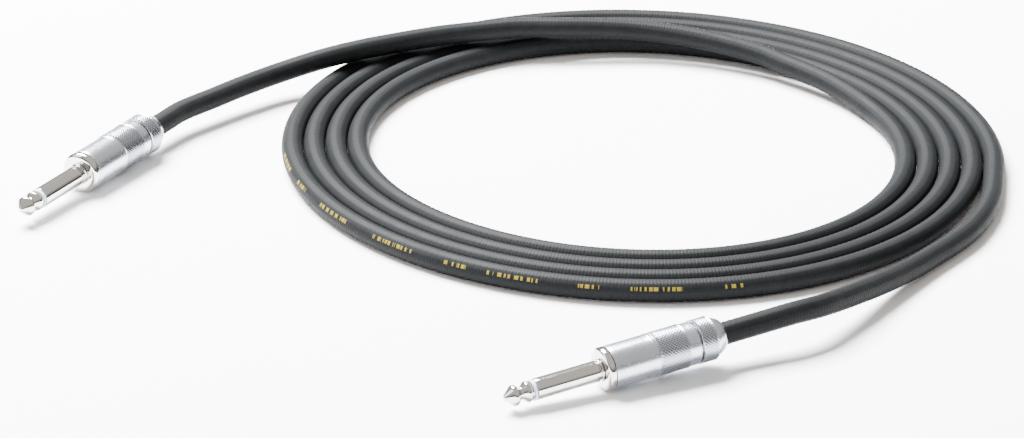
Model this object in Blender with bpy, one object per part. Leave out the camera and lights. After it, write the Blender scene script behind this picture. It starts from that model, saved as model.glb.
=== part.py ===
"""Instrument cable: two straight 6.35 mm mono phone plugs on one coiled round cable.

The cable lies flat in a coil of just over four laps. Lead A leaves the inside of the coil and
crosses over it to plug A, and lead B leaves the outside of the coil to plug B. All sizes are in
millimetres and become metres as the meshes are made. Each plug is drawn along its own axis, with
z = 0 at the tip and z growing towards the cable, and stands on an empty at its tip.
"""
import math

import bmesh
import bpy
from mathutils import Matrix, Vector

MM = 0.001
GAP = 0.3                      # space between pieces that touch

# Cable
CABLE_R = 3.4
CORE_R = 1.3
WIRE_R = 0.45
LEAD_STEP = 14.0               # spacing of the points along a lead
LEAD_RESOLUTION = 2
ROUTE_STEPS = 20               # steps between two route points before they are spaced evenly
LEAD_A_INSET = 0.4             # how far each lead's end lies towards the coil's centre
LEAD_B_INSET = -0.3

# Coil: the centre line of one strand, by the number of turns it has made clockwise
COIL_CENTRE = (84.8, 85.8)     # from the part's origin, on the floor between the two plugs
COIL_R = 84.58
COIL_PITCH = 6.97
COIL_SHIFT = (-0.48, 2.16)
COIL_SHIFT_PER_TURN = -0.17
COIL_OVAL = 2.56
COIL_OVAL_ANGLE = 133.3
COIL_START = -0.05             # turns at which lead A has come down into the coil
COIL_END = 4.03                # turns at which lead B leaves it
COIL_SECTIONS = 72
STEP_TURNS = 0.0004            # length of the face where a strand starts or ends
ARC_DEGREES = 36               # steps of the round at each side of the coil

# Plugs: where the tip lies from the coil's centre, and how the plug points towards its cable
PLUGS = {
    "plug_a": {"tip": (-190.6, -52.2, 5.76), "heading": 58.8, "rise": 1.27},
    "plug_b": {"tip": (-42.3, -180.6, 4.27), "heading": 27.27, "rise": 3.9},
}

# Lengths along a plug
TIP_END = 8.65
RING_END = 9.6
FLANGE_FACE = 31.0
FLANGE_BACK = 33.2
STUB_END = 39.0
GROUND_RING = 39.3
WASHER = 40.4
TIP_LUG = 41.5
ROD_END = 42.8
WIRE_START = 43.3
CORE_START = 46.0
TONGUE_END = 47.5
JACKET_START = 49.0
GROUND_CLAMP = 50.0
LINER_END = 55.5
COLLET_START = 56.2
BARREL_SHOULDER = 57.5
BARREL_END = 61.4
BARREL_STUB_END = 66.0
NUT_START = 61.7
NUT_SHOULDER = 67.0
NUT_END = 70.4

# Radii of a plug
TIP_R = 3.1
TIP_GROOVE_R = 1.85
ROD_R = 1.0
INSULATOR_R = 1.9
SLEEVE_R = 3.175
SLEEVE_GROOVE_R = 2.95
COLLAR_R = 3.4
FLANGE_R = 6.45
STUB_R = 4.9
BARREL_R = 6.4
BARREL_BORE_R = 5.2
KNURL_R = 6.6
WASHER_R = 3.2
TIP_LUG_R = 2.6
LUG_SHEET = 0.4
LUG_RING = 0.8                 # thickness of the ground lug's ring
LUG_ARM_HALF = 1.2             # half the width of the ground lug's arm
LUG_CLAMP = 4.0                # length of the clamp round the jacket
LUG_CLAMP_OPENING = 70         # degrees
TIP_LUG_THICK = 0.6
TONGUE_HALF = 0.9
TONGUE_INNER, TONGUE_OUTER = 1.9, 2.4
LUG_OVERLAP = 0.2              # how far joined parts of a lug run into each other
LINER_GAP = 0.35
COLLET_R = 4.35
COLLET_COLLAR_R = 4.9
COLLET_SLOT = 0.8
COLLET_SLOT_START = 60.0
BARREL_STUB_R = 5.3
NUT_END_R = 4.6

FINE = 24                      # sides of the large turned pieces
COARSE = 16                    # sides of the small ones

# The leads beyond the straight cable behind each plug, from the coil's centre, and how far
# the cable stays straight behind the clamp nut. Heights are chosen so that a lead clears the coil.
LEAD_A_STRAIGHT = 16.0
LEAD_A = [
    (-135.3, 33.4, 7.8), (-127.5, 41.5, 8.1), (-115.5, 52.3, 8.6), (-101.8, 60.2, 10.2),
    (-89.0, 67.2, 10.8), (-76.2, 73.7, 10.8), (-63.2, 79.4, 10.8), (-50.1, 83.3, 10.8),
    (-36.9, 86.4, 10.8), (-23.8, 86.7, 10.7), (-10.0, 87.4, 10.2), (3.1, 87.0, 9.5),
    (16.4, 84.2, 8.8), (30.2, 78.8, 7.9), (42.8, 71.6, 6.9), (49.0, 66.2, 6.2),
    (55.4, 60.3, 5.7), (61.8, 53.5, 5.3), (68.1, 45.3, 4.6), (74.2, 34.8, 4.0),
]
LEAD_B_STRAIGHT = 24.0
LEAD_B = [
    (49.2, -131.8, 10.2), (55.2, -125.0, 9.0), (61.4, -117.2, 7.7), (67.8, -108.6, 6.2),
    (74.2, -99.6, 4.9), (80.8, -90.1, 3.9), (87.3, -80.8, 3.5), (93.3, -72.6, 3.4),
    (99.6, -62.6, 3.4), (105.0, -50.0, 3.4), (108.6, -36.6, 3.4),
]

MATERIALS = {                  # base colour, metallic, roughness
    "nickel": ((0.80, 0.81, 0.84), 1.0, 0.12),
    "satin_chrome": ((0.72, 0.73, 0.76), 1.0, 0.32),
    "pale_plastic": ((0.86, 0.89, 0.93), 0.0, 0.35),
    "black_plastic": ((0.03, 0.03, 0.03), 0.0, 0.45),
    "copper": ((0.85, 0.45, 0.30), 1.0, 0.35),
    "cable_jacket": ((0.055, 0.060, 0.066), 0.0, 0.60),
}


def clear_scene():
    for thing in list(bpy.data.objects):
        bpy.data.objects.remove(thing, do_unlink=True)


def material(name):
    """The named Principled material, made the first time it is asked for."""
    if name in bpy.data.materials:
        return bpy.data.materials[name]
    colour, metallic, roughness = MATERIALS[name]
    made = bpy.data.materials.new(name)
    made.use_nodes = True
    shader = made.node_tree.nodes["Principled BSDF"]
    shader.inputs["Base Color"].default_value = (*colour, 1.0)
    shader.inputs["Metallic"].default_value = metallic
    shader.inputs["Roughness"].default_value = roughness
    return made


def add_object(name, data, finish, parent=None):
    thing = bpy.data.objects.new(name, data)
    bpy.context.scene.collection.objects.link(thing)
    data.materials.append(material(finish))
    thing.parent = parent
    return thing


def finish_mesh(bm, name):
    """A mesh in metres, facing out and shaded smooth, from a bmesh in millimetres."""
    bmesh.ops.remove_doubles(bm, verts=bm.verts, dist=1e-4)
    bmesh.ops.recalc_face_normals(bm, faces=bm.faces)
    bmesh.ops.scale(bm, vec=(MM, MM, MM), verts=bm.verts)
    mesh = bpy.data.meshes.new(name)
    bm.to_mesh(mesh)
    bm.free()
    mesh.shade_smooth()
    mesh.set_sharp_from_angle(angle=math.radians(35))
    return mesh


def turned(name, outline, finish, parent, sides=FINE):
    """A piece turned on the plug's axis from an outline of (radius, z) points.

    An outline that starts and ends on the axis makes a solid piece; any other is closed into
    a loop and makes a hollow one.
    """
    bm = bmesh.new()
    points = [bm.verts.new((radius, 0.0, z)) for radius, z in outline]
    edges = [bm.edges.new(pair) for pair in zip(points, points[1:])]
    if outline[0][0] > 0:
        edges.append(bm.edges.new((points[-1], points[0])))
    bmesh.ops.spin(bm, geom=points + edges, cent=(0, 0, 0), axis=(0, 0, 1),
                   angle=math.tau, steps=sides, use_merge=True)
    return add_object(name, finish_mesh(bm, name), finish, parent)


def tube_outline(inner, outer, start, end):
    return [(inner, start), (outer, start), (outer, end), (inner, end)]


def boxed(name, low, high):
    """A box between two corners, as a helper that is joined to or cut from a piece."""
    bm = bmesh.new()
    size = Vector(high) - Vector(low)
    centre = (Vector(high) + Vector(low)) / 2
    bmesh.ops.create_cube(bm, size=1.0, matrix=Matrix.Translation(centre) @ Matrix.Diagonal((*size, 1)))
    return finish_mesh(bm, name)


def combine(piece, helper_mesh, operation):
    """Join or cut a hidden helper into a piece."""
    helper = bpy.data.objects.new(helper_mesh.name, helper_mesh)
    bpy.context.scene.collection.objects.link(helper)
    helper.parent = piece.parent
    helper.hide_render = True
    helper.display_type = "WIRE"
    boolean = piece.modifiers.new(operation.lower(), "BOOLEAN")
    boolean.operation = operation
    boolean.solver = "EXACT"
    boolean.object = helper


def tip_contact(plug, parent):
    """The pointed tip with its groove, and the rod that runs from it to the tip lug."""
    outline = [
        (0, 0), (0.6, 0.12), (1.0, 0.6), (TIP_R, 2.8), (TIP_R, 3.9), (TIP_GROOVE_R, 5.1),
        (TIP_GROOVE_R, 5.5), (TIP_R, 6.95), (TIP_R, 8.0), (2.75, TIP_END), (ROD_R, TIP_END),
        (ROD_R, ROD_END), (0, ROD_END),
    ]
    turned(f"{plug}_tip_contact", outline, "nickel", parent, COARSE)


def tip_insulator(plug, parent):
    """The ring behind the tip, and the tube that keeps the rod clear of the sleeve."""
    bore = ROD_R + GAP
    outline = [
        (bore, TIP_END + GAP), (TIP_R, TIP_END + GAP), (TIP_R, RING_END), (INSULATOR_R, RING_END),
        (INSULATOR_R, TIP_LUG - GAP), (bore, TIP_LUG - GAP),
    ]
    turned(f"{plug}_tip_insulator", outline, "pale_plastic", parent, COARSE)


def sleeve_body(plug, parent):
    """The sleeve, a groove and a low collar behind it, the flange and the threaded stub."""
    bore = INSULATOR_R + GAP
    outline = [
        (bore, RING_END + GAP), (SLEEVE_R, RING_END + GAP), (SLEEVE_R, 29.7), (SLEEVE_GROOVE_R, 29.9),
        (SLEEVE_GROOVE_R, 30.2), (COLLAR_R, 30.4), (COLLAR_R, FLANGE_FACE), (5.0, FLANGE_FACE),
        (6.0, 31.35), (FLANGE_R, 32.0), (FLANGE_R, FLANGE_BACK), (STUB_R, FLANGE_BACK),
        (STUB_R, STUB_END), (bore, STUB_END),
    ]
    turned(f"{plug}_sleeve_body", outline, "nickel", parent)


def ground_lug(plug, parent):
    """The ring behind the stub, its arm, and the open clamp that grips the jacket."""
    outer = CABLE_R + GAP + LUG_SHEET
    ring_bore = INSULATOR_R + GAP
    lug = turned(f"{plug}_ground_lug", tube_outline(ring_bore, outer, GROUND_RING, GROUND_RING + LUG_RING),
                 "nickel", parent, COARSE)
    arm_inner = CABLE_R + GAP - LUG_OVERLAP / 2
    arm = boxed(f"{plug}_lug_arm", (arm_inner, -LUG_ARM_HALF, GROUND_RING + LUG_OVERLAP),
                (arm_inner + LUG_SHEET, LUG_ARM_HALF, GROUND_CLAMP + 2 * LUG_OVERLAP))
    combine(lug, arm, "UNION")
    bm = bmesh.new()
    opening = math.radians(LUG_CLAMP_OPENING)
    section = [bm.verts.new((radius * math.cos(opening / 2), radius * math.sin(opening / 2), z))
               for radius, z in tube_outline(CABLE_R + GAP, outer, GROUND_CLAMP, GROUND_CLAMP + LUG_CLAMP)]
    face = bm.faces.new(section)
    bmesh.ops.spin(bm, geom=[face], cent=(0, 0, 0), axis=(0, 0, 1),
                   angle=math.tau - opening, steps=14, use_duplicate=False)
    bmesh.ops.holes_fill(bm, edges=bm.edges, sides=4)
    bmesh.ops.rotate(bm, verts=bm.verts, cent=(0, 0, 0), matrix=Matrix.Rotation(math.pi, 3, "Z"))
    combine(lug, finish_mesh(bm, f"{plug}_lug_clamp"), "UNION")


def rear_washer(plug, parent):
    """The insulating washer between the ground lug's ring and the tip lug."""
    outline = tube_outline(INSULATOR_R + GAP, WASHER_R, WASHER, TIP_LUG - GAP)
    turned(f"{plug}_rear_washer", outline, "pale_plastic", parent, COARSE)


def tip_lug(plug, parent):
    """The solder lug riveted to the rod, with a tongue that reaches back to the core."""
    outline = tube_outline(ROD_R + GAP, TIP_LUG_R, TIP_LUG, TIP_LUG + TIP_LUG_THICK)
    lug = turned(f"{plug}_tip_lug", outline, "nickel", parent, COARSE)
    tongue = boxed(f"{plug}_lug_tongue", (-TONGUE_OUTER, -TONGUE_HALF, TIP_LUG + LUG_OVERLAP),
                   (-TONGUE_INNER, TONGUE_HALF, TONGUE_END))
    combine(lug, tongue, "UNION")


def cable_core(plug, parent):
    """The bared end of the cable: the inner insulation, its wire and the gathered screen."""
    core_end = JACKET_START - GAP
    core = [(0, CORE_START), (CORE_R, CORE_START), (CORE_R, core_end), (0, core_end)]
    turned(f"{plug}_core_insulation", core, "pale_plastic", parent, COARSE)
    wire_end = CORE_START - GAP
    wire = [(0, WIRE_START), (WIRE_R, WIRE_START), (WIRE_R, wire_end), (0, wire_end)]
    turned(f"{plug}_core_wire", wire, "copper", parent, 12)
    route = [(2.3, 0, core_end), (2.4, 0, 47.6), (2.7, 0, 46.2), (2.8, 0, 44.6)]
    pigtail = tube_curve(f"{plug}_shield_pigtail", route, WIRE_R)
    add_object(f"{plug}_shield_pigtail", pigtail, "copper", parent)


def barrel_liner(plug, parent):
    """The insulating tube between the lugs and the barrel."""
    outline = tube_outline(CABLE_R + GAP + LUG_SHEET + LINER_GAP, BARREL_BORE_R - LINER_GAP,
                           STUB_END + GAP, LINER_END)
    turned(f"{plug}_barrel_liner", outline, "black_plastic", parent)


def collet(plug, parent):
    """The sleeve that grips the cable, slotted from the rear, with a collar inside the barrel."""
    bore = CABLE_R + GAP
    outline = [
        (bore, COLLET_START), (COLLET_COLLAR_R, COLLET_START),
        (COLLET_COLLAR_R, BARREL_SHOULDER - GAP),
        (COLLET_R, BARREL_SHOULDER - GAP), (COLLET_R, BARREL_STUB_END), (bore, BARREL_STUB_END),
    ]
    gripper = turned(f"{plug}_collet", outline, "black_plastic", parent)
    half = COLLET_SLOT / 2
    reach = COLLET_R + 1.0
    end = BARREL_STUB_END + 1.0
    for index, (x, y) in enumerate(((reach, half), (half, reach))):
        slot = boxed(f"{plug}_collet_slot_{index}", (-x, -y, COLLET_SLOT_START), (x, y, end))
        combine(gripper, slot, "DIFFERENCE")


def barrel(plug, parent):
    """The shell: plain front, a low ridge, the knurled band, the neck and the nut's thread."""
    rear_bore = COLLET_R + GAP
    outline = [
        (BARREL_BORE_R, FLANGE_BACK + GAP), (BARREL_R, FLANGE_BACK + GAP), (BARREL_R, 46.7),
        (BARREL_R + 0.1, 46.8), (BARREL_R + 0.1, 47.6), (KNURL_R, 48.0), (KNURL_R, 57.5),
        (BARREL_R - 0.05, 57.8), (BARREL_R - 0.05, BARREL_END - 0.3),
        (BARREL_R - 0.35, BARREL_END), (BARREL_STUB_R, BARREL_END),
        (BARREL_STUB_R, BARREL_STUB_END), (rear_bore, BARREL_STUB_END),
        (rear_bore, BARREL_SHOULDER), (BARREL_BORE_R, BARREL_SHOULDER),
    ]
    turned(f"{plug}_barrel", outline, "satin_chrome", parent)


def thrust_washer(plug, parent):
    """The washer between the collet's rear end and the nut."""
    outline = tube_outline(CABLE_R + GAP, BARREL_BORE_R, BARREL_STUB_END + GAP, NUT_SHOULDER - GAP)
    turned(f"{plug}_thrust_washer", outline, "nickel", parent)


def clamp_nut(plug, parent):
    """The knurled nut at the rear, with a rounded taper down to the cable."""
    outline = [
        (BARREL_STUB_R + GAP, NUT_START), (KNURL_R, NUT_START), (KNURL_R, 66.7), (6.1, 66.9),
        (5.9, 67.6), (5.4, 68.8), (4.9, 69.9), (NUT_END_R, NUT_END), (CABLE_R + GAP, NUT_END),
        (CABLE_R + GAP, NUT_SHOULDER), (BARREL_STUB_R + GAP, NUT_SHOULDER),
    ]
    turned(f"{plug}_clamp_nut", outline, "satin_chrome", parent)


PLUG_PIECES = (
    tip_contact, tip_insulator, sleeve_body, ground_lug, rear_washer, tip_lug, cable_core,
    barrel_liner, collet, barrel, thrust_washer, clamp_nut,
)


def from_coil(x, y, z):
    """A point given from the coil's centre, in metres from the part's origin."""
    return Vector((x + COIL_CENTRE[0], y + COIL_CENTRE[1], z)) * MM


def plug_direction(plug):
    heading = math.radians(PLUGS[plug]["heading"])
    rise = math.radians(PLUGS[plug]["rise"])
    return Vector((math.cos(heading) * math.cos(rise), math.sin(heading) * math.cos(rise),
                   math.sin(rise)))


def along_plug(plug, distance):
    """The point on the plug's axis that lies that far behind its tip, from the coil's centre."""
    return Vector(PLUGS[plug]["tip"]) + plug_direction(plug) * distance


def make_plug(plug):
    """An empty at the tip, its z along the plug towards the cable, with every piece on it."""
    axis = bpy.data.objects.new(f"{plug}_axis", None)
    bpy.context.scene.collection.objects.link(axis)
    axis.location = from_coil(*PLUGS[plug]["tip"])
    axis.rotation_euler = plug_direction(plug).to_track_quat("Z", "Y").to_euler()
    for make_piece in PLUG_PIECES:
        make_piece(plug, axis)


def tube_curve(name, route, radius):
    """A round rod along a route of points in millimetres, with closed ends."""
    curve = bpy.data.curves.new(name, "CURVE")
    curve.dimensions = "3D"
    curve.bevel_depth = radius * MM
    curve.bevel_resolution = LEAD_RESOLUTION
    curve.use_fill_caps = True
    curve.render_resolution_u = 0
    spline = curve.splines.new("POLY")
    spline.points.add(len(route) - 1)
    for point, place in zip(spline.points, route):
        point.co = (*(Vector(place) * MM), 1.0)
    return curve


def smooth_route(points):
    """Evenly spaced points on the Catmull-Rom curve through the given ones."""
    knots = [Vector(point) for point in points]
    knots = [2 * knots[0] - knots[1], *knots, 2 * knots[-1] - knots[-2]]
    dense = []
    for before, start, end, after in zip(knots, knots[1:], knots[2:], knots[3:]):
        for step in range(ROUTE_STEPS):
            t = step / ROUTE_STEPS
            dense.append(0.5 * (2 * start + (end - before) * t
                                + (2 * before - 5 * start + 4 * end - after) * t ** 2
                                + (3 * start - before - 3 * end + after) * t ** 3))
    dense.append(knots[-2])
    lengths = [0.0]
    for start, end in zip(dense, dense[1:]):
        lengths.append(lengths[-1] + (end - start).length)
    count = round(lengths[-1] / LEAD_STEP)
    route = []
    for index in range(count + 1):
        wanted = lengths[-1] * index / count
        after = next((i for i, length in enumerate(lengths) if length >= wanted - 1e-9), len(dense) - 1)
        span = lengths[after] - lengths[after - 1] if after else 1.0
        share = (wanted - lengths[after - 1]) / span if after else 0.0
        route.append(dense[after - 1].lerp(dense[after], share) if after else dense[0])
    return route


def strand_radius(turns):
    """Distance of the coiled cable's centre line from the coil's centre."""
    angle = -math.tau * turns
    oval = COIL_OVAL * math.cos(2 * (angle - math.radians(COIL_OVAL_ANGLE)))
    shift_y = COIL_SHIFT[1] + COIL_SHIFT_PER_TURN * turns
    shift = COIL_SHIFT[0] * math.cos(angle) + shift_y * math.sin(angle)
    return COIL_R + COIL_PITCH * turns + shift + oval


def strand_point(turns, inset=0.0):
    radius = strand_radius(turns) - inset
    angle = -math.tau * turns
    return Vector((radius * math.cos(angle), radius * math.sin(angle), CABLE_R))


def lead_points(plug, straight, free_points, coil_points):
    """The whole lead from inside its plug to the coil."""
    distances = [JACKET_START, (JACKET_START + NUT_END) / 2, NUT_END, NUT_END + straight / 2,
                 NUT_END + straight]
    inside = [along_plug(plug, distance) for distance in distances]
    return inside + [Vector(point) for point in free_points] + coil_points


def make_lead(name, points):
    curve = tube_curve(name, smooth_route(points), CABLE_R)
    lead = add_object(name, curve, "cable_jacket")
    lead.location = from_coil(0, 0, 0)


def make_leads():
    end_a = strand_point(COIL_START - GAP / strand_radius(0) / math.tau, inset=LEAD_A_INSET)
    make_lead("lead_a", lead_points("plug_a", LEAD_A_STRAIGHT, LEAD_A, [end_a]))
    end_b = strand_point(COIL_END + GAP / strand_radius(COIL_END) / math.tau, inset=LEAD_B_INSET)
    make_lead("lead_b", lead_points("plug_b", LEAD_B_STRAIGHT, LEAD_B, [end_b]))


def coil_section(turns, last_lap):
    """The coil's outline at one angle: flat below and above, with a strand's round at each side."""
    inner = strand_radius(turns)
    outer = strand_radius(turns + last_lap)
    angle = -math.tau * turns
    corners = []
    for centre, first in ((outer, -90), (inner, 90)):
        for degrees in range(first, first + 181, ARC_DEGREES):
            turn = math.radians(degrees)
            radius = centre + CABLE_R * math.cos(turn)
            corners.append((radius * math.cos(angle), radius * math.sin(angle),
                            CABLE_R + CABLE_R * math.sin(turn)))
    return corners


def make_coil():
    """One closed band as high as the cable, with a step where the first and last strand end."""
    whole_laps = int(COIL_END - COIL_START)
    extra = COIL_END - COIL_START - whole_laps
    shares = [index / COIL_SECTIONS for index in range(1, COIL_SECTIONS)]
    sections = [(share, whole_laps if share < extra else whole_laps - 1) for share in shares]
    sections += [(STEP_TURNS, whole_laps), (extra, whole_laps), (extra + STEP_TURNS, whole_laps - 1),
                 (1.0, whole_laps - 1)]
    bm = bmesh.new()
    rings = [[bm.verts.new(corner) for corner in coil_section(COIL_START + share, laps)]
             for share, laps in sorted(sections)]
    for ring, following in zip(rings, rings[1:] + rings[:1]):
        for index, corner in enumerate(ring):
            beside = (index + 1) % len(ring)
            bm.faces.new((corner, ring[beside], following[beside], following[index]))
    coil = add_object("coil", finish_mesh(bm, "coil"), "cable_jacket")
    coil.location = from_coil(0, 0, 0)


clear_scene()
for plug_name in PLUGS:
    make_plug(plug_name)
make_coil()
make_leads()
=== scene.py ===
"""The instrument cable's looks: one 3 m cable, two plugs with real knurls, and a white studio.

Sizes are in millimetres and become metres as the meshes are made. Each plug is drawn along its
own axis, with z = 0 at the tip and z growing towards the cable.
"""
import math

import bmesh
import bpy
import numpy as np
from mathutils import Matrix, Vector


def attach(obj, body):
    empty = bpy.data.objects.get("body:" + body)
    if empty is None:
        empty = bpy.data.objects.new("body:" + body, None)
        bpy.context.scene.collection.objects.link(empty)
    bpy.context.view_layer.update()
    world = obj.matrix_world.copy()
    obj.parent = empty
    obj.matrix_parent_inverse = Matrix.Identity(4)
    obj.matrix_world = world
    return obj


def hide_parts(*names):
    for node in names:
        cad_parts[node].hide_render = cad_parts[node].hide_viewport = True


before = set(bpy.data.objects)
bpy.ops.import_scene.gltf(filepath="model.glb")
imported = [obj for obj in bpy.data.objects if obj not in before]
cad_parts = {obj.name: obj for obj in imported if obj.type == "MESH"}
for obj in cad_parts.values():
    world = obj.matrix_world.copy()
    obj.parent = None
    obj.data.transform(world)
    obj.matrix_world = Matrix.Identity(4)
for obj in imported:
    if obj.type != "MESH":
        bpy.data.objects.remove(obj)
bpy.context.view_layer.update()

MM = 0.001
ROOT = "cable_and_plugs"

# Camera
LENS = 171.2                   # on a sensor 36 mm wide
SENSOR = 36.0
CAMERA_DISTANCE = 1.5
CAMERA_ELEVATION = math.radians(23.93)
CAMERA_TARGET = (0.04497, 0.0399, 0.0)

# Studio
FLOOR_HALF = 6.0
FLOOR_DROP = 0.0002            # keeps the floor just below the cable's braid
HORIZON = (0.03, 0.029, 0.028, 1.0)
OVERHEAD = (0.40, 0.375, 0.35, 1.0)
HORIZON_TOP, OVERHEAD_FROM = 0.08, 0.45    # heights on the sky's unit sphere
SKY_STRENGTH = 2.4

# The cable's route, as the CAD has it
CABLE_R = 3.4
COIL_CENTRE = (84.8, 85.8)
COIL_R = 84.58
COIL_PITCH = 6.97
COIL_SHIFT = (-0.48, 2.16)
COIL_SHIFT_PER_TURN = -0.17
COIL_OVAL = 2.56
COIL_OVAL_ANGLE = 133.3
COIL_START = -0.05
COIL_END = 4.03
PLUGS = {
    "plug_a": {"tip": (-190.6, -52.2, 5.76), "heading": 58.8, "rise": 1.27, "straight": 16.0},
    "plug_b": {"tip": (-42.3, -180.6, 4.27), "heading": 27.27, "rise": 3.9, "straight": 24.0},
}
JACKET_START = 49.0
NUT_END = 70.4
LEAD_A = [
    (-135.3, 33.4, 7.8), (-127.5, 41.5, 8.1), (-115.5, 52.3, 8.6), (-101.8, 60.2, 10.2),
    (-89.0, 67.2, 10.8), (-76.2, 73.7, 10.8), (-63.2, 79.4, 10.8), (-50.1, 83.3, 10.8),
    (-36.9, 86.4, 10.8), (-23.8, 86.7, 10.7), (-10.0, 87.4, 10.2), (3.1, 87.0, 9.5),
    (16.4, 84.2, 8.8), (30.2, 78.8, 7.9), (42.8, 71.6, 6.9), (49.0, 66.2, 6.2),
    (55.4, 60.3, 5.7), (61.8, 53.5, 5.3), (68.1, 45.3, 4.6), (74.2, 34.8, 4.0),
]
LEAD_B = [
    (49.2, -131.8, 10.2), (55.2, -125.0, 9.0), (61.4, -117.2, 7.7), (67.8, -108.6, 6.2),
    (74.2, -99.6, 4.9), (80.8, -90.1, 3.9), (87.3, -80.8, 3.5), (93.3, -72.6, 3.4),
    (99.6, -62.6, 3.4), (105.0, -50.0, 3.4), (108.6, -36.6, 3.4),
]
COIL_POINTS_PER_TURN = 48
ROUTE_STEPS = 16               # steps between two route points before they are spaced evenly

# Cable surface
RING_STEP = 0.55               # spacing of the cable's rings of vertices
CABLE_SIDES = 20
PATH_STRIDE = 4                # rings between two points of the path that is told to the frame
BRAID_STEP = 2.1               # spacing of the shallow ridges that the screen presses into the jacket
BRAID_HEIGHT = 0.06            # above and below the cable's mean surface
BRAID_STARTS = 6               # ridges met on the way once round the cable
BRAID_LEAN = 0.75              # share of the height given to the ridges that lean one way

# Plug surface
SMOOTH_SIDES = 96
SHARP_ANGLE = math.radians(50)
THREAD_PITCH = 0.75
KNURL_FADE = 0.35              # length over which a knurl dies away at each end of its band
KNURL_COUNT = 42               # diamonds around a knurled band
KNURL_PER_DIAMOND = 4
KNURL_DEPTH = 0.30
# painted shade for the depths of a knurl's grooves
GROOVE_SHADE_COLOUR = (0.07, 0.08, 0.10, 1.0)


# ---------------------------------------------------------------- camera, floor and light

def make_camera():
    data = bpy.data.cameras.new("camera")
    data.lens = LENS
    data.sensor_width = SENSOR
    data.clip_end = 50.0
    camera = bpy.data.objects.new("camera", data)
    bpy.context.scene.collection.objects.link(camera)
    towards = Vector((0.0, math.cos(CAMERA_ELEVATION), -math.sin(CAMERA_ELEVATION)))
    camera.location = Vector(CAMERA_TARGET) - towards * CAMERA_DISTANCE
    camera.rotation_euler = towards.to_track_quat("-Z", "Y").to_euler()
    bpy.context.scene.camera = camera


def make_floor():
    mesh = bpy.data.meshes.new("floor")
    corners = [(x * FLOOR_HALF, y * FLOOR_HALF, 0.0) for x, y in ((-1, -1), (1, -1), (1, 1), (-1, 1))]
    mesh.from_pydata(corners, [], [(0, 1, 2, 3)])
    floor = bpy.data.objects.new("floor", mesh)
    floor.location.z = -FLOOR_DROP
    bpy.context.scene.collection.objects.link(floor)
    finish = bpy.data.materials.new("white_floor")
    finish.use_nodes = True
    shader = finish.node_tree.nodes["Principled BSDF"]
    shader.inputs["Base Color"].default_value = (0.93, 0.93, 0.93, 1.0)
    shader.inputs["Roughness"].default_value = 0.9
    shader.inputs["Specular IOR Level"].default_value = 0.0
    mesh.materials.append(finish)


def make_light(name, place, size, power, aim=(0.04, 0.04, 0.0)):
    data = bpy.data.lights.new(name, "AREA")
    data.shape = "RECTANGLE"
    data.size, data.size_y = size
    data.energy = power
    light = bpy.data.objects.new(name, data)
    light.location = place
    light.rotation_euler = (Vector(aim) - Vector(place)).to_track_quat("-Z", "Y").to_euler()
    bpy.context.scene.collection.objects.link(light)


def make_sky():
    """Dark near the horizon and grey overhead. Metal takes its white bands from key and floor."""
    world = bpy.data.worlds.new("studio")
    world.use_nodes = True
    tree = world.node_tree
    place = tree.nodes.new("ShaderNodeTexCoord")
    split = tree.nodes.new("ShaderNodeSeparateXYZ")
    ramp = tree.nodes.new("ShaderNodeValToRGB")
    ramp.color_ramp.elements[0].position = HORIZON_TOP
    ramp.color_ramp.elements[0].color = HORIZON
    ramp.color_ramp.elements[1].position = OVERHEAD_FROM
    ramp.color_ramp.elements[1].color = OVERHEAD
    sky = tree.nodes["Background"]
    sky.inputs["Strength"].default_value = SKY_STRENGTH
    tree.links.new(place.outputs["Generated"], split.inputs[0])
    tree.links.new(split.outputs["Z"], ramp.inputs[0])
    tree.links.new(ramp.outputs[0], sky.inputs["Color"])
    bpy.context.scene.world = world


def make_lights():
    make_light("key_softbox", (-0.45, 0.75, 1.30), (1.1, 0.8), 360.0)
    make_light("side_softbox", (-1.5, -0.3, 0.7), (0.8, 1.0), 12.0)
    make_sky()


# ---------------------------------------------------------------- materials

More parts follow.
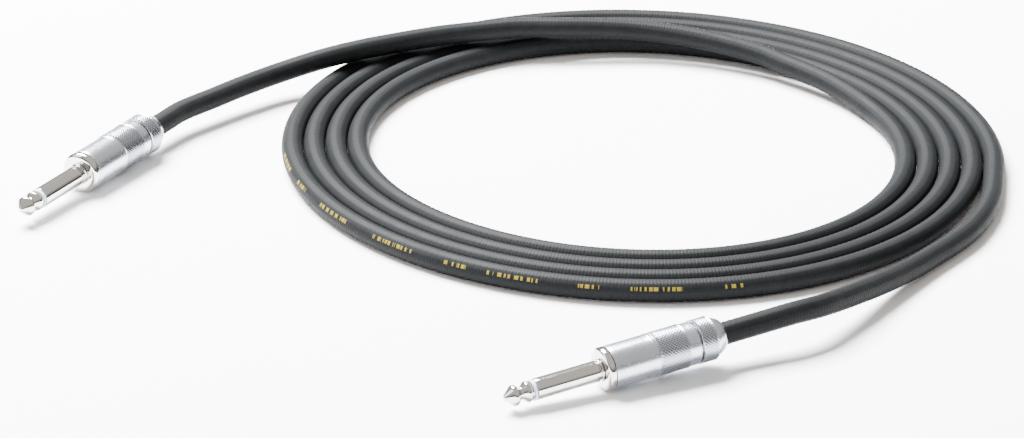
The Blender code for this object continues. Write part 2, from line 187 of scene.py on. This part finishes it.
class Nodes:
    """A material's node tree, with short calls to add and join its nodes."""

    def __init__(self, name, colour, metallic, roughness):
        self.material = bpy.data.materials.new(name)
        self.material.use_nodes = True
        self.tree = self.material.node_tree
        self.shader = self.tree.nodes["Principled BSDF"]
        self.shader.inputs["Base Color"].default_value = (*colour, 1.0)
        self.shader.inputs["Metallic"].default_value = metallic
        self.shader.inputs["Roughness"].default_value = roughness

    def add(self, kind, **values):
        """A node; a value is given to the input or, in small letters, the property of that name."""
        node = self.tree.nodes.new(kind)
        for key, value in values.items():
            if key in node.inputs:
                self.feed(value, node.inputs[key])
            else:
                setattr(node, key, value)
        return node

    def feed(self, value, socket):
        if isinstance(value, bpy.types.NodeSocket):
            self.tree.links.new(value, socket)
        else:
            socket.default_value = value

    def math(self, operation, first, second=0.0):
        node = self.add("ShaderNodeMath", operation=operation)
        self.feed(first, node.inputs[0])
        self.feed(second, node.inputs[1])
        return node.outputs[0]

    def noise(self, scale, detail=3.0, stretch=(1.0, 1.0, 1.0)):
        place = self.add("ShaderNodeTexCoord").outputs["Object"]
        mapping = self.add("ShaderNodeMapping", Vector=place, Scale=stretch)
        made = self.add("ShaderNodeTexNoise", Vector=mapping.outputs[0], Scale=scale, Detail=detail)
        return made.outputs[0]

    def remap(self, value, low, high):
        node = self.add("ShaderNodeMapRange", Value=value)
        node.inputs["To Min"].default_value = low
        node.inputs["To Max"].default_value = high
        return node.outputs[0]

    def mix(self, share, first, second):
        node = self.add("ShaderNodeMix", data_type="RGBA")
        self.feed(share, node.inputs[0])
        self.feed(first, node.inputs[6])
        self.feed(second, node.inputs[7])
        return node.outputs[2]

    def bump(self, height, strength, distance):
        node = self.add("ShaderNodeBump", Height=height, Strength=strength, Distance=distance)
        self.feed(node.outputs[0], self.shader.inputs["Normal"])

    def uv(self):
        split = self.add("ShaderNodeSeparateXYZ", Vector=self.add("ShaderNodeUVMap").outputs[0])
        return split.outputs[0], split.outputs[1]


def metal(name, colour, roughness, spread, ring_strength):
    """Plated metal: fine turning rings round the plug's axis, and faint uneven polish."""
    nodes = Nodes(name, colour, 1.0, roughness)
    polish = nodes.noise(900.0)
    nodes.feed(nodes.remap(polish, roughness - spread, roughness + spread), nodes.shader.inputs["Roughness"])
    tint = nodes.noise(160.0)
    darker = tuple(0.94 * value for value in colour)
    nodes.feed(nodes.mix(tint, (*colour, 1.0), (*darker, 1.0)), nodes.shader.inputs["Base Color"])
    along, _ = nodes.uv()
    rings = nodes.add("ShaderNodeTexNoise", noise_dimensions="1D", W=along, Scale=9.0, Detail=4.0)
    nodes.bump(rings.outputs[0], ring_strength, 0.00002)
    return nodes.material


def paint_groove_shade(finish):
    """Painted shade in the depths of a knurl, darkening the colour by the groove depth that turned() stores
    at each vertex.
    """
    tree = finish.node_tree
    base = tree.nodes["Principled BSDF"].inputs["Base Color"]
    plain = base.links[0].from_socket
    groove = tree.nodes.new("ShaderNodeAttribute")
    groove.attribute_name = "groove"
    mix = tree.nodes.new("ShaderNodeMix")
    mix.data_type = "RGBA"
    mix.inputs[7].default_value = GROOVE_SHADE_COLOUR
    tree.links.new(groove.outputs["Fac"], mix.inputs[0])
    tree.links.new(plain, mix.inputs[6])
    tree.links.new(mix.outputs[2], base)
    return finish


def plastic(name, colour, roughness, subsurface=0.0):
    nodes = Nodes(name, colour, 0.0, roughness)
    speckle = nodes.noise(1500.0)
    nodes.feed(nodes.remap(speckle, roughness - 0.06, roughness + 0.06), nodes.shader.inputs["Roughness"])
    paler = tuple(min(1.0, 1.08 * value) for value in colour)
    tint = nodes.mix(nodes.noise(220.0), (*colour, 1.0), (*paler, 1.0))
    nodes.feed(tint, nodes.shader.inputs["Base Color"])
    if subsurface:
        nodes.shader.inputs["Subsurface Weight"].default_value = subsurface
        nodes.shader.inputs["Subsurface Radius"].default_value = (0.001, 0.001, 0.001)
    nodes.bump(speckle, 0.05, 0.00002)
    return nodes.material


PRINT_COLOUR = (0.17, 0.13, 0.014, 1.0)
JACKET_DARK = (0.0042, 0.0049, 0.0055, 1.0)
JACKET_PALE = (0.0072, 0.0082, 0.0090, 1.0)
PRINT_FROM, PRINT_TO = 2267.0, 2455.0      # along the cable, in millimetres
PRINT_CENTRE = 0.085                       # share of the way round from the outer side, upwards
PRINT_HALF = 0.028


def jacket_material():
    """Matt vinyl with the screen's braid showing faintly, and a row of plain yellow ticks."""
    nodes = Nodes("cable_jacket_vinyl", JACKET_DARK[:3], 0.0, 0.55)
    along, around = nodes.uv()
    blotch = nodes.noise(260.0, 4.0)
    plain = nodes.mix(nodes.remap(blotch, -0.2, 1.2), JACKET_DARK, JACKET_PALE)
    # ticks: a smooth random wave along the cable, cut at two heights, in a narrow band
    tick_wave = nodes.add("ShaderNodeTexNoise", noise_dimensions="1D", W=along, Scale=0.75, Detail=1.0)
    group_wave = nodes.add("ShaderNodeTexNoise", noise_dimensions="1D", W=along, Scale=0.07, Detail=0.0)
    ticks = nodes.math("MULTIPLY", nodes.math("GREATER_THAN", tick_wave.outputs[0], 0.5),
                       nodes.math("GREATER_THAN", group_wave.outputs[0], 0.46))
    offset = nodes.math("ABSOLUTE", nodes.math("SUBTRACT", around, PRINT_CENTRE))
    in_band = nodes.math("LESS_THAN", offset, PRINT_HALF)
    after = nodes.math("GREATER_THAN", along, PRINT_FROM)
    before = nodes.math("LESS_THAN", along, PRINT_TO)
    here = nodes.math("MULTIPLY", nodes.math("MULTIPLY", after, before), in_band)
    mask = nodes.math("MULTIPLY", here, ticks)
    nodes.feed(nodes.mix(mask, plain, PRINT_COLOUR), nodes.shader.inputs["Base Color"])
    nodes.feed(nodes.remap(blotch, 0.50, 0.68), nodes.shader.inputs["Roughness"])
    nodes.shader.inputs["Specular IOR Level"].default_value = 0.065
    grain = nodes.noise(2600.0, 5.0)
    down = nodes.math("MULTIPLY", along, math.tau / BRAID_STEP)
    round_it = nodes.math("MULTIPLY", around, BRAID_STARTS * math.tau)
    lattice_a = nodes.math("SINE", nodes.math("ADD", down, round_it))
    lattice_b = nodes.math("SINE", nodes.math("SUBTRACT", down, round_it))
    lattice = nodes.math("MULTIPLY", lattice_a, lattice_b)
    height = nodes.math("ADD", nodes.math("MULTIPLY", grain, 0.55), nodes.math("MULTIPLY", lattice, 0.60))
    nodes.bump(height, 0.5, 0.00012)
    return nodes.material


MATERIALS = {
    "nickel": metal("bright_nickel", (0.60, 0.59, 0.58), 0.08, 0.03, 0.15),
    # the satin barrel and nut carry painted shade in their knurl grooves
    "satin": paint_groove_shade(metal("satin_nickel", (0.50, 0.54, 0.60), 0.26, 0.05, 0.25)),
    "lug": metal("tinned_brass", (0.66, 0.65, 0.62), 0.30, 0.06, 0.1),
    "copper": metal("bare_copper", (0.80, 0.42, 0.26), 0.28, 0.06, 0.1),
    "solder": metal("solder_tin", (0.62, 0.63, 0.64), 0.22, 0.08, 0.1),
    "pale_plastic": plastic("pale_insulator", (0.74, 0.79, 0.86), 0.30, 0.15),
    "core": plastic("core_polythene", (0.80, 0.80, 0.76), 0.38, 0.1),
    "black_plastic": plastic("black_nylon", (0.016, 0.016, 0.017), 0.42),
    "jacket": jacket_material(),
}


# ---------------------------------------------------------------- places

def from_coil(point):
    """A point given from the coil's centre, in metres in the frame."""
    x, y, z = point
    return Vector((x + COIL_CENTRE[0], y + COIL_CENTRE[1], z)) * MM


def plug_direction(plug):
    heading = math.radians(PLUGS[plug]["heading"])
    rise = math.radians(PLUGS[plug]["rise"])
    return Vector((math.cos(heading) * math.cos(rise), math.sin(heading) * math.cos(rise),
                   math.sin(rise)))


def along_plug(plug, distance):
    return Vector(PLUGS[plug]["tip"]) + plug_direction(plug) * distance


# ---------------------------------------------------------------- cable

def strand_point(turns):
    angle = -math.tau * turns
    oval = COIL_OVAL * math.cos(2 * (angle - math.radians(COIL_OVAL_ANGLE)))
    shift_y = COIL_SHIFT[1] + COIL_SHIFT_PER_TURN * turns
    radius = COIL_R + COIL_PITCH * turns + COIL_SHIFT[0] * math.cos(angle) + shift_y * math.sin(angle) + oval
    return Vector((radius * math.cos(angle), radius * math.sin(angle), CABLE_R))


def lead_points(plug, free_points):
    straight = PLUGS[plug]["straight"]
    distances = [JACKET_START, (JACKET_START + NUT_END) / 2, NUT_END, NUT_END + straight / 2,
                 NUT_END + straight]
    return [along_plug(plug, distance) for distance in distances] + [Vector(p) for p in free_points]


def cable_knots():
    """The points of the whole route, from inside plug A through the coil to inside plug B."""
    count = round((COIL_END - COIL_START) * COIL_POINTS_PER_TURN)
    coil = [strand_point(COIL_START + (COIL_END - COIL_START) * i / count) for i in range(count + 1)]
    return lead_points("plug_a", LEAD_A) + coil + lead_points("plug_b", LEAD_B)[::-1]


def smooth_route(knots, spacing):
    """Evenly spaced points on the centripetal Catmull-Rom curve through the knots."""
    knots = [2 * knots[0] - knots[1], *knots, 2 * knots[-1] - knots[-2]]
    dense = []
    for before, start, end, after in zip(knots, knots[1:], knots[2:], knots[3:]):
        times = [0.0]
        for one, other in ((before, start), (start, end), (end, after)):
            times.append(times[-1] + math.sqrt((other - one).length))
        t0, t1, t2, t3 = times
        for step in range(ROUTE_STEPS):
            t = t1 + (t2 - t1) * step / ROUTE_STEPS
            a1 = before.lerp(start, (t - t0) / (t1 - t0))
            a2 = start.lerp(end, (t - t1) / (t2 - t1))
            a3 = end.lerp(after, (t - t2) / (t3 - t2))
            b1 = a1.lerp(a2, (t - t0) / (t2 - t0))
            b2 = a2.lerp(a3, (t - t1) / (t3 - t1))
            dense.append(b1.lerp(b2, (t - t1) / (t2 - t1)))
    dense.append(knots[-2])
    dense = np.array(dense)
    lengths = np.concatenate([[0.0], np.cumsum(np.linalg.norm(np.diff(dense, axis=0), axis=1))])
    count = round(lengths[-1] / spacing)
    wanted = np.linspace(0.0, lengths[-1], count + 1)
    return np.stack([np.interp(wanted, lengths, dense[:, axis]) for axis in range(3)], axis=1), wanted


def make_cable():
    """One mesh tube, 3 m long, with the braid's shallow ridges standing in its surface."""
    centres, lengths = smooth_route(cable_knots(), RING_STEP)
    tangents = np.gradient(centres, axis=0)
    tangents /= np.linalg.norm(tangents, axis=1, keepdims=True)
    up = np.array([0.0, 0.0, 1.0])
    outward = np.cross(tangents, up)
    outward /= np.linalg.norm(outward, axis=1, keepdims=True)
    # on the coil, which is wound clockwise, this points away from the coil's centre
    outward = -outward
    upward = np.cross(outward, tangents)
    upward *= np.sign(upward[:, 2:3])
    angles = np.linspace(0.0, math.tau, CABLE_SIDES, endpoint=False)
    phase = lengths[:, None] * math.tau / BRAID_STEP
    leaning = np.sin(phase + BRAID_STARTS * angles[None, :])
    crossing = np.sin(phase - BRAID_STARTS * angles[None, :])
    ridges = BRAID_LEAN * leaning + (1 - BRAID_LEAN) * crossing
    radius = CABLE_R + BRAID_HEIGHT * ridges
    verts = (centres[:, None, :] + radius[:, :, None]
             * (np.cos(angles)[None, :, None] * outward[:, None, :]
                + np.sin(angles)[None, :, None] * upward[:, None, :]))
    shift = np.array([COIL_CENTRE[0], COIL_CENTRE[1], 0.0])
    verts = (verts + shift).reshape(-1, 3) * MM
    rings = len(centres)
    faces = []
    for ring in range(rings - 1):
        for side in range(CABLE_SIDES):
            beside = (side + 1) % CABLE_SIDES
            first, second = ring * CABLE_SIDES, (ring + 1) * CABLE_SIDES
            faces.append((first + side, second + side, second + beside, first + beside))
    faces.append(tuple(range(CABLE_SIDES)))
    faces.append(tuple(range((rings - 1) * CABLE_SIDES, rings * CABLE_SIDES))[::-1])
    mesh = bpy.data.meshes.new("cable")
    mesh.from_pydata(verts.tolist(), [], faces)
    layer = mesh.uv_layers.new(name="UVMap")
    coordinates = []
    for ring in range(rings - 1):
        start, end = lengths[ring], lengths[ring + 1]
        for side in range(CABLE_SIDES):
            low, high = side / CABLE_SIDES, (side + 1) / CABLE_SIDES
            coordinates += [start, low, end, low, end, high, start, high]
    coordinates += [0.0, 0.0] * (2 * CABLE_SIDES)
    layer.data.foreach_set("uv", coordinates)
    bm = bmesh.new()
    bm.from_mesh(mesh)
    bmesh.ops.recalc_face_normals(bm, faces=bm.faces)
    bm.to_mesh(mesh)
    bm.free()
    mesh.shade_smooth()
    mesh.materials.append(MATERIALS["jacket"])
    cable = bpy.data.objects.new("cable", mesh)
    bpy.context.scene.collection.objects.link(cable)
    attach(cable, ROOT)
    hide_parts("coil", "lead_a", "lead_b")
    path = (centres + shift)[::PATH_STRIDE] * MM
    path = np.concatenate([path, [(centres[-1] + shift) * MM]])
    return cable, path.tolist()


# ---------------------------------------------------------------- turned pieces

def round_corners(outline, size=0.12, steps=3):
    """The outline with each corner marked by a third value rounded by that many millimetres."""
    rounded = []
    for index, corner in enumerate(outline):
        wanted = corner[2] if len(corner) > 2 else size
        here = Vector(corner[:2])
        if wanted == 0 or index in (0, len(outline) - 1) and corner[0] == 0:
            rounded.append(here)
            continue
        before = Vector(outline[index - 1][:2])
        after = Vector(outline[(index + 1) % len(outline)][:2])
        cut = min(wanted, 0.45 * (here - before).length, 0.45 * (after - here).length)
        start = here + (before - here).normalized() * cut
        end = here + (after - here).normalized() * cut
        for step in range(steps + 1):
            t = step / steps
            rounded.append(start.lerp(here, t).lerp(here.lerp(end, t), t))
    return rounded


def refine(points, closed, longest=1.6):
    """The same outline with its long runs cut up, so that smooth shading has even faces."""
    result = []
    pairs = list(zip(points, points[1:] + points[:1]))
    if not closed:
        pairs = pairs[:-1]
    for start, end in pairs:
        pieces = max(1, math.ceil((end - start).length / longest))
        result += [start.lerp(end, i / pieces) for i in range(pieces)]
    if not closed:
        result.append(points[-1])
    return result


def knurl_height(angle, z, first, last, pitch):
    """Diamond knurl: two crossing sets of helical grooves, fading out at the band's two ends."""
    turns = angle * KNURL_COUNT / math.tau
    along = (z - first) / pitch
    one = abs(2 * ((turns + along) % 1.0) - 1)
    other = abs(2 * ((turns - along) % 1.0) - 1)
    edge = min(1.0, (z - first) / KNURL_FADE, (last - z) / KNURL_FADE)
    return KNURL_DEPTH * ((one + other) / 2 - 1) * max(0.0, edge)


def knurl_rows(radius, first, last):
    """Outline points through a knurled band, close enough to carry its diamonds."""
    pitch = 2 * math.pi * radius / KNURL_COUNT
    rows = round((last - first) / pitch * KNURL_PER_DIAMOND)
    return [(radius, first + (last - first) * i / rows, 0) for i in range(rows + 1)]


def turned(name, outline, plug, body, finish, replaces=(), sides=SMOOTH_SIDES, knurl=None, round_to=0.12):
    """A piece turned on the plug's axis. knurl is (radius, first z, last z) of a knurled band."""
    closed = outline[0][0] > 0
    points = refine(round_corners(outline, round_to), closed)
    if knurl:
        sides = KNURL_COUNT * KNURL_PER_DIAMOND
    axis = plug_direction(plug)
    turn = axis.to_track_quat("Z", "Y")
    origin = from_coil(PLUGS[plug]["tip"])
    verts, rings, grooves = [], [], []
    for point in points:
        radius, z = point
        if radius < 1e-6:
            rings.append([len(verts)] * sides)
            verts.append(origin + turn @ Vector((0, 0, z)) * MM)
            grooves.append(0.0)
            continue
        rings.append(list(range(len(verts), len(verts) + sides)))
        for side in range(sides):
            angle = math.tau * side / sides
            grown = radius
            if knurl and abs(radius - knurl[0]) < 1e-6 and knurl[1] <= z <= knurl[2]:
                grown += knurl_height(angle, z, knurl[1], knurl[2], math.tau * radius / KNURL_COUNT)
            spot = Vector((grown * math.cos(angle), grown * math.sin(angle), z))
            verts.append(origin + turn @ spot * MM)
            # how deep the knurl is cut here; the satin finish paints shade in the grooves with it
            grooves.append((radius - grown) / KNURL_DEPTH)
    faces, uvs = [], []
    pairs = list(zip(range(len(rings)), list(range(1, len(rings))) + ([0] if closed else [])))
    for lower, upper in pairs:
        for side in range(sides):
            beside = (side + 1) % sides
            corners = [rings[lower][side], rings[lower][beside], rings[upper][beside], rings[upper][side]]
            kept = list(dict.fromkeys(corners))
            if len(kept) > 2:
                faces.append(kept)
                low, high = points[lower][1], points[upper][1]
                start, end = side / sides, (side + 1) / sides
                places = {corners[0]: (low, start), corners[1]: (low, end),
                          corners[2]: (high, end), corners[3]: (high, start)}
                uvs += [places[corner] for corner in kept]
    mesh = bpy.data.meshes.new(name)
    mesh.from_pydata(verts, [], faces)
    layer = mesh.uv_layers.new(name="UVMap")
    layer.data.foreach_set("uv", [value for pair in uvs for value in pair])
    mesh.attributes.new("groove", "FLOAT", "POINT").data.foreach_set("value", grooves)
    bm = bmesh.new()
    bm.from_mesh(mesh)
    bmesh.ops.recalc_face_normals(bm, faces=bm.faces)
    bm.to_mesh(mesh)
    bm.free()
    mesh.shade_smooth()
    mesh.set_sharp_from_angle(angle=SHARP_ANGLE)
    return place_piece(name, mesh, body, finish, replaces)


def place_piece(name, mesh, body, finish, replaces=()):
    mesh.materials.append(MATERIALS[finish])
    piece = bpy.data.objects.new(name, mesh)
    bpy.context.scene.collection.objects.link(piece)
    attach(piece, body)
    if replaces:
        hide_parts(*replaces)
    return piece


def tube_outline(inner, outer, start, end):
    return [(inner, start), (outer, start), (outer, end), (inner, end)]


def thread_outline(crest, root, first, last):
    """A thread's crests and roots, as rings one pitch apart."""
    points = []
    z = first
    while z < last:
        points += [(crest, z, 0.06), (root, z + 0.25, 0.06), (root, z + 0.4, 0.06), (crest, z + 0.65, 0.06)]
        z += THREAD_PITCH
    return points


def make_tip(plug):
    outline = [
        (0, 0), (0.62, 0.1, 0.25), (1.05, 0.55, 0.3), (3.1, 2.8, 0.3), (3.1, 3.85, 0.3), (1.85, 5.05, 0.3),
        (1.85, 5.55, 0.25), (3.1, 6.95, 0.2), (3.1, 7.85, 0.25), (2.75, 8.2, 0.1), (2.75, 8.65, 0.05),
        (1.0, 8.65, 0), (1.0, 42.6, 0.3), (0, 42.8),
    ]
    turned(f"{plug}_tip_turned", outline, plug, ROOT, "nickel", (f"{plug}_tip_contact",))


def make_insulator(plug):
    outline = [(1.3, 8.95), (3.1, 8.95), (3.1, 9.6), (1.9, 9.6), (1.9, 41.2), (1.3, 41.2)]
    turned(f"{plug}_insulator_moulded", outline, plug, ROOT, "pale_plastic", (f"{plug}_tip_insulator",),
           round_to=0.06)


def make_sleeve(plug):
    threads = thread_outline(4.9, 4.62, 34.0, 38.6)
    outline = [
        (2.2, 9.9, 0.05), (3.175, 9.9, 0.08), (3.175, 29.7, 0.05), (2.9, 29.85, 0.03), (2.9, 30.2, 0.03),
        (3.4, 30.35, 0.1), (3.4, 30.7, 0.1), (2.95, 30.85, 0.03), (2.95, 31.0, 0.03), (4.95, 31.0, 0.3),
        (6.0, 31.3, 0.5), (6.45, 31.95, 0.4), (6.45, 33.2, 0.12), (4.9, 33.2, 0.05), *threads,
        (4.9, 39.0, 0.15), (2.2, 39.0, 0.1),
    ]
    turned(f"{plug}_sleeve_turned", outline, plug, ROOT, "nickel", (f"{plug}_sleeve_body",))


def make_barrel(plug):
    rows = knurl_rows(6.6, 48.0, 57.5)
    threads = thread_outline(5.3, 5.05, 61.9, 65.6)
    outline = [
        (5.2, 33.5, 0.1), (6.4, 33.5, 0.18), (6.4, 46.6, 0.1), (6.5, 46.75, 0.05), (6.5, 47.55, 0.1),
        (6.36, 47.75, 0.05), (6.36, 47.9, 0.05), *rows, (6.35, 57.75, 0.05), (6.35, 61.0, 0.25),
        (6.05, 61.4, 0.1), (5.3, 61.4, 0.03), *threads, (5.3, 66.0, 0.15), (4.65, 66.0, 0.05),
        (4.65, 57.5, 0.1), (5.2, 57.5, 0.05),
    ]
    turned(f"{plug}_barrel_knurled", outline, plug, f"{plug}_barrel", "satin", (f"{plug}_barrel",),
           knurl=(6.6, 48.0, 57.5))


def make_nut(plug):
    rows = knurl_rows(6.6, 61.85, 66.6)
    outline = [
        (5.6, 61.7, 0.1), (6.35, 61.7, 0.1), *rows, (6.2, 66.75, 0.05), (6.05, 66.95, 0.1),
        (5.95, 67.6, 0.4), (5.5, 68.7, 0.6), (4.95, 69.8, 0.5), (4.4, 70.4, 0.3), (3.7, 70.4, 0.15),
        (3.7, 67.0, 0.1), (5.6, 67.0, 0.1),
    ]
    turned(f"{plug}_nut_knurled", outline, plug, f"{plug}_nut", "satin", (f"{plug}_clamp_nut",),
           knurl=(6.6, 61.85, 66.6))


def make_inner_rings(plug):
    """The turned pieces inside the barrel."""
    turned(f"{plug}_washer_moulded", tube_outline(2.2, 3.2, 40.4, 41.2), plug, ROOT, "pale_plastic",
           (f"{plug}_rear_washer",), round_to=0.08)
    turned(f"{plug}_liner_tube", tube_outline(4.45, 4.85, 39.3, 55.5), plug, f"{plug}_liner",
           "black_plastic", (f"{plug}_barrel_liner",), round_to=0.05)
    turned(f"{plug}_thrust_ring", tube_outline(3.7, 5.2, 66.3, 66.7), plug, f"{plug}_washer", "nickel",
           (f"{plug}_thrust_washer",), round_to=0.08)
    turned(f"{plug}_core_sheath", [(0, 46.0), (1.3, 46.0), (1.3, 48.7), (0, 48.7)], plug, ROOT, "core",
           (f"{plug}_core_insulation",))
    turned(f"{plug}_core_strands", [(0, 43.3), (0.45, 43.3), (0.45, 45.7), (0, 45.7)], plug, ROOT, "copper",
           (f"{plug}_core_wire",), sides=24)


def finish_cad_nodes():
    """The sheet-metal lugs, the slotted collets and the pigtails keep their CAD shape."""
    for plug in PLUGS:
        for piece, finish in (("ground_lug", "lug"), ("tip_lug", "lug"), ("collet", "black_plastic"),
                              ("shield_pigtail", "copper")):
            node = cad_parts[f"{plug}_{piece}"]
            node.data.materials.clear()
            node.data.materials.append(MATERIALS[finish])


# ---------------------------------------------------------------- the scene

make_camera()
cable, cable_path = make_cable()
for plug_name in PLUGS:
    make_tip(plug_name)
    make_insulator(plug_name)
    make_sleeve(plug_name)
    make_barrel(plug_name)
    make_nut(plug_name)
    make_inner_rings(plug_name)
finish_cad_nodes()
make_floor()
make_lights()
